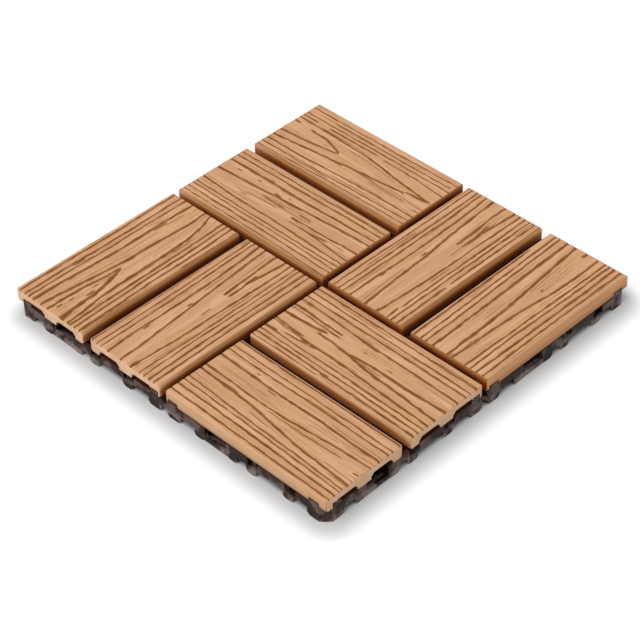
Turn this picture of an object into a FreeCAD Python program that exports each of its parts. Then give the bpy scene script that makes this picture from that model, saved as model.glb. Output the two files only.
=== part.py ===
import FreeCAD, Part
import os
import Sketcher

# Interlocking deck tile: eight grained slats in a basket weave on one moulded, ribbed base.
# The tile lies flat with +Z up. The origin is on the ground, at the middle of the tile pitch.
# Catch bars and their sockets are on the -Y and +X sides, snap tongues on the +Y and -X sides.

# Driving sizes in millimetres
SIZES = {
    # slats and the gaps between them
    "slat_width": 69.0,
    "slat_thickness": 10.0,
    "pair_gap": 7.0,
    "quarter_gap": 5.0,
    "tile_joint": 5.0,
    "outer_leg": 8.5,
    "centre_leg": 12.0,
    "channel_depth": 4.5,
    "channel_chamfer": 2.5,
    "slat_foot_chamfer": 1.2,
    "slat_top_bevel": 0.8,
    # notches in the slats, which clear the lugs of the base
    "notch_height": 4.0,
    "notch_depth": 3.6,
    "notch_clearance": 1.0,
    # moulded base
    "base_height": 12.0,
    "wall_height": 6.0,
    "wall_thickness": 2.8,
    "rib_height": 8.0,
    "rib_thickness": 2.4,
    "corner_cut": 6.0,
    # feet under the side walls
    "foot_width": 9.0,
    "foot_depth": 8.0,
    "foot_chamfer": 2.0,
    "foot_inset": 0.8,
    "first_drain": 83.0,
    "second_drain": 116.0,
    "drain_width": 10.0,
    "drain_depth": 5.0,
    "drain_foot_shift": 2.0,
    # posts that carry the upright clip lugs
    "post_width": 12.0,
    "middle_lug_inset": 6.5,
    "corner_lug_inset": 10.5,
    "lug_width": 7.0,
    "lug_height": 3.2,
    "lug_round": 1.0,
    "web_width": 3.6,
    # sockets with their catch bars, and the tongues that reach over a neighbour's bars
    "socket_width": 20.0,
    "socket_side_gap": 0.4,
    "bar_height": 3.0,
    "bar_lift": 1.5,
    "tongue_side_gap": 0.75,
    "tongue_thickness": 3.0,
    "tongue_gap": 0.5,
    "hook_thickness": 3.0,
    "hook_lift": 1.0,
    "hook_lead": 1.2,
    # floor that closes the middle foot, where the mould is fed
    "floor_thickness": 1.6,
    # screws and their eight-sided bosses
    "boss_width": 10.0,
    "boss_flat": 4.2,
    "screw_diameter": 3.5,
    "screw_hole_play": 0.5,
    "screw_hole_flat": 1.6,
    "screw_reach": 7.0,
    "screw_tip": 2.0,
    "head_flats": 7.0,
    "head_corner": 2.0,
    "head_height": 2.4,
    "pilot_spare": 0.6,
}


class Length:
    """A number together with the sheet formula that it comes from."""

    def __init__(self, value, formula):
        self.value = value
        self.formula = formula

    @staticmethod
    def of(item):
        return item if isinstance(item, Length) else Length(float(item), repr(float(item)))

    def __add__(self, other):
        other = Length.of(other)
        return Length(self.value + other.value, f"({self.formula} + {other.formula})")

    def __sub__(self, other):
        other = Length.of(other)
        return Length(self.value - other.value, f"({self.formula} - {other.formula})")

    def __mul__(self, factor):
        return Length(self.value * factor, f"({self.formula} * {factor})")

    def __truediv__(self, divisor):
        return Length(self.value / divisor, f"({self.formula} / {divisor})")

    def __neg__(self):
        return Length(-self.value, f"(0 - {self.formula})")


doc = FreeCAD.newDocument("deck_tile")
sheet = doc.addObject("Spreadsheet::Sheet", "Sizes")
size = {}
for row, (name, value) in enumerate(SIZES.items(), start=1):
    sheet.set(f"A{row}", name)
    sheet.set(f"B{row}", str(value))
    sheet.setAlias(f"B{row}", name)
    size[name] = Length(value, f"Sizes.{name}")
doc.recompute()

# Lengths that follow from the driving sizes
ZERO = Length.of(0)
quarter = size["slat_width"] * 2 + size["pair_gap"]
half_field = quarter + size["quarter_gap"] / 2
half_pitch = half_field + size["tile_joint"] / 2
slat_step = size["slat_width"] + size["pair_gap"]
inner_line = size["quarter_gap"] / 2 + size["slat_width"] / 2
outer_line = inner_line + slat_step
leg_offset = (size["slat_width"] - size["outer_leg"]) / 2
inner_lug = size["quarter_gap"] / 2 + size["middle_lug_inset"]
outer_lug = half_field - size["corner_lug_inset"]
notch_reach = size["lug_width"] / 2 + size["notch_clearance"]
base_top = size["base_height"]
wall_bottom = base_top - size["wall_height"]
rib_bottom = base_top - size["rib_height"]
bar_top = size["bar_lift"] + size["bar_height"]
socket_start = inner_line + size["rib_thickness"] / 2 + size["socket_side_gap"]
socket_end = socket_start + size["socket_width"]


def origin_feature(body, role):
    return next(item for item in body.Origin.OriginFeatures if item.Role == role)


def bind(item, path, length):
    item.setExpression(path, Length.of(length).formula)


def new_body(name):
    body = doc.addObject("PartDesign::Body", name)
    body.Label = name
    return body


def new_sketch(body, name, role, lift=ZERO):
    """A sketch on one of the body's own planes, lifted along that plane's normal."""
    sketch = body.newObject("Sketcher::SketchObject", name)
    sketch.AttachmentSupport = [(origin_feature(body, role), "")]
    sketch.MapMode = "FlatFace"
    bind(sketch, "AttachmentOffset.Base.z", lift)
    return sketch


def outlines(sketch, loops):
    """Draws closed outlines whose corners are all tied to the sheet."""
    lines = []
    joins = []
    ties = []
    for points in loops:
        first = len(lines)
        spots = [FreeCAD.Vector(across.value, up.value, 0) for across, up in points]
        lines += [Part.LineSegment(spot, after) for spot, after in zip(spots, spots[1:] + spots[:1])]
        for number, (across, up) in enumerate(points):
            edge = first + number
            following = first + (number + 1) % len(points)
            joins.append(Sketcher.Constraint("Coincident", edge, 2, following, 1))
            ties.append((Sketcher.Constraint("DistanceX", -1, 1, edge, 1, across.value), across))
            ties.append((Sketcher.Constraint("DistanceY", -1, 1, edge, 1, up.value), up))
    sketch.addGeometry(lines, False)
    sketch.addConstraint(joins + [constraint for constraint, length in ties])
    for number, (constraint, length) in enumerate(ties, start=len(joins)):
        bind(sketch, f"Constraints[{number}]", length)


def rectangle(left, low, right, high):
    return [(left, low), (right, low), (right, high), (left, high)]


def circles(sketch, middles, diameter):
    """Draws circles of one diameter whose middles are tied to the sheet."""
    rings = []
    ties = []
    for number, (across, up) in enumerate(middles):
        spot = FreeCAD.Vector(across.value, up.value, 0)
        rings.append(Part.Circle(spot, FreeCAD.Vector(0, 0, 1), diameter.value / 2))
        ties.append((Sketcher.Constraint("DistanceX", -1, 1, number, 3, across.value), across))
        ties.append((Sketcher.Constraint("DistanceY", -1, 1, number, 3, up.value), up))
        ties.append((Sketcher.Constraint("Diameter", number, diameter.value), diameter))
    sketch.addGeometry(rings, False)
    sketch.addConstraint([constraint for constraint, length in ties])
    for number, (constraint, length) in enumerate(ties):
        bind(sketch, f"Constraints[{number}]", length)


def pad(body, sketch, length, backwards=False, both_ways=False):
    feature = body.newObject("PartDesign::Pad", f"{sketch.Name}_pad")
    feature.Profile = sketch
    bind(feature, "Length", length)
    feature.Reversed = backwards
    feature.Midplane = both_ways
    return feature


def pocket(body, sketch, length):
    """Cuts upwards, or along the plane's normal."""
    feature = body.newObject("PartDesign::Pocket", f"{sketch.Name}_cut")
    feature.Profile = sketch
    bind(feature, "Length", length)
    feature.Reversed = True
    return feature


def row_of(body, name, axis, length, count):
    step = doc.addObject("PartDesign::LinearPattern", name)
    step.Direction = (origin_feature(body, axis), [""])
    step.Occurrences = count
    bind(step, "Length", length)
    return step


def turn_of(body, name, count):
    """Quarter turns about the middle of the tile."""
    step = doc.addObject("PartDesign::PolarPattern", name)
    step.Axis = (origin_feature(body, "Z_Axis"), [""])
    step.Angle = 90 * (count - 1)
    step.Occurrences = count
    return step


def repeat(body, name, originals, steps):
    """Repeats features by each step in turn, and moves the body's tip on."""
    pattern = body.newObject("PartDesign::MultiTransform", name)
    pattern.Originals = originals
    for step in steps:
        body.addObject(step)
    pattern.Transformations = steps
    body.Tip = pattern
    return pattern


# Slats: one extruded section with two channels, cut to length, drilled, and notched by its place
def slat_section(sketch):
    """Section across the slat: three legs, two chamfered channels and bevelled top edges."""
    half = size["slat_width"] / 2
    leg = half - size["outer_leg"]
    middle = size["centre_leg"] / 2
    slope = size["channel_chamfer"]
    roof = size["channel_depth"]
    foot = size["slat_foot_chamfer"]
    bevel = size["slat_top_bevel"]
    top = size["slat_thickness"]
    right = [
        (middle, ZERO),
        (middle, roof - slope),
        (middle + slope, roof),
        (leg - slope, roof),
        (leg, roof - slope),
        (leg, ZERO),
        (half - foot, ZERO),
        (half, foot),
        (half, top - bevel),
        (half - bevel, top),
    ]
    left = [(-across, up) for across, up in reversed(right)]
    outlines(sketch, [right + left])


def bevel_ends(body, feature):
    """Bevels the top edges of the two cut ends."""
    doc.recompute()
    top = size["slat_thickness"].value
    end = quarter.value / 2
    chosen = []
    for number, edge in enumerate(feature.Shape.Edges, start=1):
        box = edge.BoundBox
        at_end = min(abs(box.XMin - end), abs(box.XMax + end)) < 0.01 and box.XLength < 0.01
        if at_end and box.ZMin > top - 0.01:
            chosen.append(f"Edge{number}")
    bevel = body.newObject("PartDesign::Chamfer", f"{body.Name}_end_bevel")
    bevel.Base = (feature, chosen)
    bind(bevel, "Size", size["slat_top_bevel"])
    return bevel


def make_slat(name, middle_x, middle_y, turned, at_rim):
    """One slat about its own middle: its -X end faces the tile's middle, its -Y side the rim."""
    body = new_body(name)
    half_length = quarter / 2
    half_width = size["slat_width"] / 2
    section = new_sketch(body, f"{name}_section", "YZ_Plane")
    slat_section(section)
    blank = pad(body, section, quarter, both_ways=True)
    bevel_ends(body, blank)

    # end notch: one leg stops short of the outer end, beside the lug that stands there
    channel_side = half_width - size["outer_leg"] - size["notch_clearance"]
    if at_rim:
        low = size["corner_lug_inset"] - notch_reach - half_width
        high = -channel_side
    else:
        low = channel_side
        high = half_width - size["middle_lug_inset"] + notch_reach
    cut = half_length - size["notch_depth"]
    beyond = half_length + size["notch_depth"]
    end = new_sketch(body, f"{name}_end_notch", "XY_Plane")
    outlines(end, [rectangle(cut, low, beyond, high)])
    pocket(body, end, size["notch_height"])

    # side notches: room for the two lugs that stand along a slat at the rim
    if at_rim:
        near = size["middle_lug_inset"] - half_length
        far = half_length - size["corner_lug_inset"]
        shoulder = size["notch_depth"] - half_width
        over = -half_width - size["notch_depth"]
        side = new_sketch(body, f"{name}_side_notches", "XY_Plane")
        spans = [(spot - notch_reach, spot + notch_reach) for spot in (near, far)]
        outlines(side, [rectangle(left, over, right, shoulder) for left, right in spans])
        pocket(body, side, size["notch_height"])

    # pilot holes for the two screws, in the centre leg
    holes = new_sketch(body, f"{name}_pilot_holes", "XY_Plane")
    circles(holes, [(-(slat_step / 2), ZERO), (slat_step / 2, ZERO)], size["screw_diameter"])
    drilled = pocket(body, holes, size["screw_reach"] + size["pilot_spare"])
    drilled.Refine = True

    spin = FreeCAD.Rotation(FreeCAD.Vector(0, 0, 1), turned)
    body.Placement = FreeCAD.Placement(FreeCAD.Vector(), spin)
    bind(body, "Placement.Base.x", middle_x)
    bind(body, "Placement.Base.y", middle_y)
    bind(body, "Placement.Base.z", base_top)
    return body


def make_slats():
    """Two slats to a quarter, each quarter a quarter turn on from the last."""
    middle = quarter / 2 + size["quarter_gap"] / 2
    quarters = {
        "front_left": (-1, -1, 270),
        "front_right": (1, -1, 0),
        "back_right": (1, 1, 90),
        "back_left": (-1, 1, 180),
    }
    slats = []
    for place, (side_x, side_y, turned) in quarters.items():
        for rank, line in (("inner", inner_line), ("outer", outer_line)):
            along_y = turned % 180 == 90
            spot_x = line * side_x if along_y else middle * side_x
            spot_y = middle * side_y if along_y else line * side_y
            at_rim = rank == "outer"
            slats.append(make_slat(f"slat_{place}_{rank}", spot_x, spot_y, turned, at_rim))
    return slats


# Moulded base
def foot_outline(left, right, top):
    """A foot seen from the side, with its two lower corners cut off."""
    slope = size["foot_chamfer"]
    return [
        (left + slope, ZERO),
        (right - slope, ZERO),
        (right, slope),
        (right, top),
        (left, top),
        (left, slope),
    ]


def wall_outline(with_socket):
    """A whole side wall seen from the side, with its lugs, drain notches and any sockets."""
    sill = base_top - size["drain_depth"]
    drain = size["drain_width"] / 2
    lug = size["lug_width"] / 2
    crown = base_top + size["lug_height"]
    soft = size["lug_round"]
    jamb = size["foot_chamfer"]
    web_right = inner_lug - size["post_width"] / 2
    web_left = -web_right
    lower = []
    upper = []
    for start in (-half_pitch, ZERO):
        if with_socket:
            lower += [
                (start + socket_start - jamb, wall_bottom),
                (start + socket_start - jamb, size["bar_lift"]),
                (start + socket_end + jamb, size["bar_lift"]),
                (start + socket_end + jamb, wall_bottom),
            ]
            upper += [
                (start + socket_start, base_top),
                (start + socket_start, bar_top),
                (start + socket_end, bar_top),
                (start + socket_end, base_top),
            ]
        for spot in (start + size["first_drain"], start + size["second_drain"]):
            upper += [
                (spot - drain, base_top),
                (spot - drain, sill),
                (spot + drain, sill),
                (spot + drain, base_top),
            ]
    for spot in (-outer_lug, -inner_lug, inner_lug, outer_lug):
        upper += [
            (spot - lug, base_top),
            (spot - lug, crown - soft),
            (spot - lug + soft, crown),
            (spot + lug - soft, crown),
            (spot + lug, crown - soft),
            (spot + lug, base_top),
        ]
    # the sloping web that joins the two middle posts
    lower += [
        (web_left, wall_bottom),
        (web_left, base_top - size["web_width"]),
        (web_right, wall_bottom - size["web_width"] / 2),
        (inner_lug, wall_bottom),
    ]
    upper += [
        (web_left, base_top),
        (web_right, wall_bottom + size["web_width"] / 2),
        (web_right, base_top),
    ]
    lower.sort(key=lambda spot: spot[0].value)
    upper.sort(key=lambda spot: spot[0].value)
    low_left = (-half_field, wall_bottom)
    low_right = (half_field, wall_bottom)
    high_right = (half_field, base_top)
    high_left = (-half_field, base_top)
    return [low_left] + lower + [low_right, high_right] + upper[::-1] + [high_left]


def make_side_walls(body):
    """Socket walls on the -Y and +X sides, plain walls on the +Y and -X sides."""
    walls = []
    kinds = (("socket_wall", half_field, True), ("tongue_wall", -half_field, False))
    for name, lift, with_socket in kinds:
        sketch = new_sketch(body, name, "XZ_Plane", lift)
        outlines(sketch, [wall_outline(with_socket)])
        walls.append(pad(body, sketch, size["wall_thickness"], backwards=with_socket))
    repeat(body, "all_side_walls", walls, [turn_of(body, "wall_turn", 2)])


def make_wall_feet(body):
    """Clip posts, and feet beside each socket and under each drain notch."""
    wide = size["foot_width"]
    sill = base_top - size["drain_depth"]
    feet = [
        (socket_start - size["foot_inset"] - wide, socket_start - size["foot_inset"]),
        (socket_end + size["foot_inset"], socket_end + size["foot_inset"] + wide),
    ]
    for drain in (size["first_drain"], size["second_drain"]):
        middle = drain - size["drain_foot_shift"]
        feet.append((middle - wide / 2, middle + wide / 2))
    loops = []
    for start in (-half_pitch, ZERO):
        loops += [foot_outline(start + left, start + right, sill) for left, right in feet]
    post = size["post_width"] / 2
    for spot in (-inner_lug, inner_lug):
        loops.append(foot_outline(spot - post, spot + post, base_top))
    loops.append(foot_outline(outer_lug - post, half_field, base_top))
    loops.append(foot_outline(-half_field, -outer_lug + post, base_top))
    sketch = new_sketch(body, "feet_and_posts", "XZ_Plane", half_field)
    outlines(sketch, loops)
    row = pad(body, sketch, size["foot_depth"], backwards=True)
    repeat(body, "all_feet_and_posts", [row], [turn_of(body, "foot_turn", 4)])


def cut_corners(body):
    """One slanting cut across each corner of the base."""
    near = half_field - size["corner_cut"] * 2
    far = half_field + size["corner_cut"]
    sketch = new_sketch(body, "corner_cuts", "XY_Plane")
    outlines(sketch, [
        [(near, far), (far, near), (far, far)],
        [(-near, far), (-far, far), (-far, near)],
        [(-near, -far), (-far, -near), (-far, -far)],
        [(near, -far), (far, -far), (far, -near)],
    ])
    pocket(body, sketch, base_top)


def make_ribs(body):
    """Ribs both ways under every leg of the slats."""
    thick = size["rib_thickness"] / 2
    end = half_field - size["wall_thickness"] / 2
    lines = []
    for line in (inner_line, outer_line):
        lines += [line - leg_offset, line, line + leg_offset]
    lines.pop()
    lines += [-line for line in lines]
    along_x = new_sketch(body, "ribs_along_x", "XY_Plane", rib_bottom)
    outlines(along_x, [rectangle(-end, line - thick, end, line + thick) for line in lines])
    pad(body, along_x, size["rib_height"])
    along_y = new_sketch(body, "ribs_along_y", "XY_Plane", rib_bottom)
    outlines(along_y, [rectangle(line - thick, -end, line + thick, end) for line in lines])
    pad(body, along_y, size["rib_height"])


def make_tube_feet(body):
    """Square hollow feet where the gaps between the slats cross."""
    first = inner_line - leg_offset
    between = inner_line + slat_step / 2
    spread = size["pair_gap"] / 2 + size["outer_leg"] / 2
    spots = [(-between, spread), (ZERO, first), (between, spread)]
    loops = []
    for spot_x, half_x in spots:
        for spot_y, half_y in spots:
            for skin in (size["rib_thickness"] / 2, -size["rib_thickness"] / 2):
                left, right = spot_x - half_x - skin, spot_x + half_x + skin
                low, high = spot_y - half_y - skin, spot_y + half_y + skin
                loops.append(rectangle(left, low, right, high))
    sketch = new_sketch(body, "tube_feet", "XY_Plane")
    outlines(sketch, loops)
    pad(body, sketch, rib_bottom)
    floor = new_sketch(body, "middle_floor", "XY_Plane")
    outlines(floor, [rectangle(-first, -first, first, first)])
    pad(body, floor, size["floor_thickness"])


def ring_of_eight(width, flat):
    """An eight-sided outline about one screw, with its flat sides square to the tile."""
    reach = width / 2
    half = flat / 2
    corner = [(reach, -half), (reach, half), (half, reach), (-half, reach)]
    ring = corner + [(-across, -up) for across, up in corner]
    return [(inner_line + across, inner_line + up) for across, up in ring]


def at_every_screw(body, name, originals):
    """Repeats features at the sixteen crossings of the slats' centre lines."""
    repeat(body, name, originals, [
        row_of(body, f"{name}_row", "X_Axis", slat_step, 2),
        row_of(body, f"{name}_column", "Y_Axis", slat_step, 2),
        turn_of(body, f"{name}_turn", 4),
    ])


def make_bosses(body):
    """Eight-sided bosses where the ribs cross, each with a clear hole for its screw."""
    outside = new_sketch(body, "boss", "XY_Plane", rib_bottom)
    outlines(outside, [ring_of_eight(size["boss_width"], size["boss_flat"])])
    boss = pad(body, outside, size["rib_height"])
    inside = new_sketch(body, "screw_hole", "XY_Plane")
    clear = size["screw_diameter"] + size["screw_hole_play"]
    outlines(inside, [ring_of_eight(clear, size["screw_hole_flat"])])
    hole = pocket(body, inside, base_top)
    at_every_screw(body, "bosses", [boss, hole])


def make_tongues(body):
    """Snap tongues that reach over a neighbour's catch bars and hook down behind them."""
    hook_inside = half_field + size["tile_joint"] + size["wall_thickness"] + size["tongue_gap"]
    hook_outside = hook_inside + size["hook_thickness"]
    under = bar_top + size["tongue_gap"]
    over = under + size["tongue_thickness"]
    lead = size["hook_lead"]
    root = half_field - size["wall_thickness"]
    middle = socket_start + size["socket_width"] / 2
    wide = size["socket_width"] - size["tongue_side_gap"] * 2
    tongues = []
    for half, start in (("left", -half_pitch), ("right", ZERO)):
        side = new_sketch(body, f"tongue_{half}", "YZ_Plane", start + middle)
        outlines(side, [[
            (root, under),
            (hook_inside, under),
            (hook_inside, size["hook_lift"] + lead),
            (hook_inside + lead, size["hook_lift"]),
            (hook_outside, size["hook_lift"]),
            (hook_outside, over - lead),
            (hook_outside - lead, over),
            (root, over),
        ]])
        tongues.append(pad(body, side, wide, both_ways=True))
    repeat(body, "all_tongues", tongues, [turn_of(body, "tongue_turn", 2)])


def make_base():
    """The moulding is one piece: the grid under the slats and the frame around it, fused."""
    grid = new_body("grid")
    grid.AllowCompound = True
    make_ribs(grid)
    make_tube_feet(grid)
    make_bosses(grid)
    sides = new_body("sides")
    sides.AllowCompound = True
    make_tongues(sides)
    make_side_walls(sides)
    make_wall_feet(sides)
    cut_corners(sides)
    moulding = doc.addObject("Part::Fuse", "base_grid")
    moulding.Label = "base_grid"
    moulding.Base = grid
    moulding.Tool = sides
    moulding.Refine = True
    return moulding


# Screws: one hexagon-headed screw, repeated at every boss
def make_screws():
    body = new_body("fixing_screws")
    body.AllowCompound = True
    shank = size["screw_diameter"] / 2
    tip = base_top + size["screw_reach"]
    profile = new_sketch(body, "shank_profile", "XZ_Plane", -inner_line)
    outlines(profile, [[
        (inner_line, rib_bottom),
        (inner_line + shank, rib_bottom),
        (inner_line + shank, tip - size["screw_tip"]),
        (inner_line, tip),
    ]])
    turned = body.newObject("PartDesign::Revolution", "shank")
    turned.Profile = profile
    turned.ReferenceAxis = (profile, ["Edge4"])
    turned.Angle = 360

    # the head hangs below the boss, with two of its flats along Y
    flat = size["head_flats"] / 2
    corner = size["head_corner"]
    half = [(flat, -corner), (flat, corner), (ZERO, corner * 2)]
    hexagon = half + [(-across, -up) for across, up in half]
    head = new_sketch(body, "screw_head", "XY_Plane", rib_bottom)
    outlines(head, [[(inner_line + across, inner_line + up) for across, up in hexagon]])
    hung = pad(body, head, size["head_height"], backwards=True)
    at_every_screw(body, "screws", [turned, hung])
    return body


def check_model(bodies):
    """Stops before anything is written if any object or shape has failed."""
    for item in doc.Objects:
        if "Invalid" in item.State or "Error" in item.State:
            raise RuntimeError(f"{item.Label} has failed")
    for body in bodies:
        if body.Shape.isNull() or not body.Shape.isValid():
            raise RuntimeError(f"{body.Label} has no valid shape")


bodies = [make_base()] + make_slats() + [make_screws()]
doc.recompute()
check_model(bodies)

os.makedirs("parts", exist_ok=True)
for body in bodies:
    body.Shape.exportStep(f"parts/{body.Label}.step")
    box = body.Shape.BoundBox
    print(f"{body.Label}: {len(body.Shape.Solids)} solids, {body.Shape.Volume:.0f} mm3, "
          f"{box.XLength:.1f} x {box.YLength:.1f} x {box.ZLength:.1f} mm")
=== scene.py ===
"""Interlocking deck tile: eight grained slats in a basket weave on a ribbed, moulded base.

The base and its screws are the CAD nodes with new finishes. Each slat is a new mesh in the place
of its CAD node, with the same section and notches, a rounded top edge and pressed grain.
"""

import logging
import math
from dataclasses import dataclass
from enum import Enum
from typing import Dict, List, Mapping, Optional, Sequence, Tuple, Union

import bmesh
import bpy
import numpy as np
from mathutils import Matrix, Vector

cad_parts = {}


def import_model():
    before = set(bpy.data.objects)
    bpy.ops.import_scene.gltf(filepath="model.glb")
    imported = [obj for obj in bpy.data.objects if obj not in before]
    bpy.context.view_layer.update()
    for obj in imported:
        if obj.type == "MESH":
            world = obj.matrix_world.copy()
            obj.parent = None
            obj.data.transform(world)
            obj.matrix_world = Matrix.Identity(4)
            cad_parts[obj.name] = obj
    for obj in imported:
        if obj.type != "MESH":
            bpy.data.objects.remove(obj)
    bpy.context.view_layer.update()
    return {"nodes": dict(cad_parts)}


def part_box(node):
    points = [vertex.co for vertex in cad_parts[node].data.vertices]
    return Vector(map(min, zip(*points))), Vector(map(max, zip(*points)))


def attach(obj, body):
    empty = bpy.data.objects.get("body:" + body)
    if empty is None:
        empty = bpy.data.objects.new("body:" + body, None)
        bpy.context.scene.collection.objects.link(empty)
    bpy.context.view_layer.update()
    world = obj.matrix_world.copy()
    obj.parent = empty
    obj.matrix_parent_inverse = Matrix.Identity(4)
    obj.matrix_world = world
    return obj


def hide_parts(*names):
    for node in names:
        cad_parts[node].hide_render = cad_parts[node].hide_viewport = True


log = logging.getLogger("deck_tile")

MM = 0.001
TILE_HALF = 147.5
SLAT_LENGTH = 145.0
WALL_THICKNESS = 2.8
BASE_HEIGHT = 12.0
IMAGE_PIXELS = 640
SENSOR_WIDTH = 36.0
SHARP_ANGLE = 48.0
LONG_STREAK = 138.0
SLIT_WIDTH = 0.9

Pair = Tuple[float, float]
Triple = Tuple[float, float, float]
Colour = Triple
Key = Union[str, int]
Array = np.ndarray
Material = bpy.types.Material
Number = Union["Value", float]

WHITE: Colour = (1.0, 1.0, 1.0)


def shade(red: int, green: int, blue: int) -> Colour:
    """A colour of screen values from 0 to 255, as the linear one that a shader takes."""
    parts = [channel / 255 for channel in (red, green, blue)]
    return tuple(c / 12.92 if c <= 0.04045 else ((c + 0.055) / 1.055) ** 2.4 for c in parts)


# Shader nodes written as plain sums


class Value:
    """A socket of a node tree that takes part in sums."""

    def __init__(self, tree: "Tree", socket: Optional[bpy.types.NodeSocket]) -> None:
        """Keeps the socket and the tree that it is in."""
        self.tree = tree
        self.socket = socket

    def __add__(self, other: Number) -> "Value":
        """Sum."""
        return self.tree.sum_of("ADD", self, other)

    def __sub__(self, other: Number) -> "Value":
        """Difference."""
        return self.tree.sum_of("SUBTRACT", self, other)

    def __rsub__(self, other: float) -> "Value":
        """Difference from a plain number."""
        return self.tree.sum_of("SUBTRACT", other, self)

    def __mul__(self, other: Number) -> "Value":
        """Product."""
        return self.tree.sum_of("MULTIPLY", self, other)

    __radd__ = __add__
    __rmul__ = __mul__

    def highest(self, other: Number) -> "Value":
        """The larger of two."""
        return self.tree.sum_of("MAXIMUM", self, other)

    def step(self, low: float, high: float) -> "Value":
        """A smooth rise from 0 at low to 1 at high."""
        return self.tree.add(
            "ShaderNodeMapRange", {"Value": self, "From Min": low, "From Max": high},
            output="Result", interpolation_type="SMOOTHSTEP",
        )


class Tree:
    """The nodes of one material or world."""

    def __init__(self, nodes: bpy.types.NodeTree) -> None:
        """Empties the tree.

        Args:
            nodes: Blender's own tree.
        """
        self.nodes = nodes.nodes
        self.links = nodes.links
        self.nodes.clear()

    def add(
        self, kind: str, inputs: Mapping[Key, object], output: Key = 0, **settings: object,
    ) -> Value:
        """Adds one node.

        Args:
            kind: The node's type.
            inputs: Values or links of its sockets, by name or number.
            output: The socket that is handed back.
            **settings: The node's own settings, which are set first.

        Returns:
            The chosen output, which is empty for the node that ends a tree.
        """
        node = self.nodes.new(kind)
        for name, setting in settings.items():
            setattr(node, name, setting)
        for name, given in inputs.items():
            socket = node.inputs[name]
            if isinstance(given, Value):
                self.links.new(given.socket, socket)
            elif isinstance(given, tuple) and socket.type == "RGBA":
                socket.default_value = (*given, 1.0)
            else:
                socket.default_value = given
        return Value(self, node.outputs[output] if len(node.outputs) else None)

    def sum_of(self, operation: str, first: Number, second: Number) -> Value:
        """One Math node."""
        return self.add("ShaderNodeMath", {0: first, 1: second}, operation=operation)

    def vector(self, operation: str, *given: object, output: Key = 0) -> Value:
        """One Vector Math node."""
        inputs = dict(enumerate(given))
        return self.add("ShaderNodeVectorMath", inputs, output=output, operation=operation)

    def axis(self, name: str, place: Value) -> Value:
        """The X, Y or Z of a place or a direction."""
        return self.add("ShaderNodeSeparateXYZ", {0: place}, output=name)

    def place(self) -> Value:
        """The place on the object, in metres."""
        return self.add("ShaderNodeTexCoord", {}, output="Object")

    def facing(self, name: str) -> Value:
        """How far the surface faces along the X, Y or Z axis, from -1 to 1."""
        return self.axis(name, self.add("ShaderNodeNewGeometry", {}, output="Normal"))

    def blend(self, first: object, second: object, factor: Number) -> Value:
        """Mixes two colours, by how much of the second shows."""
        # sockets 0, 6 and 7 of a Mix node are its factor and its two colours
        inputs = {0: factor, 6: first, 7: second}
        return self.add("ShaderNodeMix", inputs, output=2, data_type="RGBA")

    def noise(self, place: Value, scale: Triple, detail: float = 2.0, rough: float = 0.5) -> Value:
        """Soft noise from 0 to 1, with `scale` waves to a unit of length along the three axes."""
        return self.add("ShaderNodeTexNoise", {
            "Vector": self.vector("MULTIPLY", place, scale), "Scale": 1.0,
            "Detail": detail, "Roughness": rough,
        })

    def layers(self, colour: object, *layers: Tuple[object, Value, float, float, float]) -> Value:
        """Lays colours over one another.

        Args:
            colour: The lowest.
            *layers: Each one's colour and the value that it follows, where in that value it
                starts and is full, and how much of it shows there.

        Returns:
            The mixed colour.
        """
        for over, value, start, end, share in layers:
            factor = value.step(start, end)
            colour = self.blend(colour, over, factor if share == 1 else factor * share)
        return colour

    def mark(self, name: str, output: str = "Fac") -> Value:
        """A value or vector that the mesh carries."""
        return self.add("ShaderNodeAttribute", {}, output=output, attribute_name=name)

    def bump(self, height: Value, strength: float, distance: float) -> Value:
        """A normal bent by a height."""
        return self.add(
            "ShaderNodeBump", {"Height": height, "Strength": strength, "Distance": distance},
            output="Normal",
        )

    def surface(self, shader: Value, ending: str = "ShaderNodeOutputMaterial") -> None:
        """Ends the tree."""
        self.add(ending, {"Surface": shader})


def new_material(name: str) -> Tuple[Material, Tree]:
    """Makes an empty material.

    Args:
        name: Its name.

    Returns:
        The material and its tree.
    """
    material = bpy.data.materials.new(name)
    material.use_nodes = True
    return material, Tree(material.node_tree)


# Finishes

# Painted shade: what a slat's colours turn to down in the gaps, where light hardly comes
GAP_WALL_SHADE = shade(174, 106, 50)
GAP_FLOOR_SHADE = shade(114, 44, 5)


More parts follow.
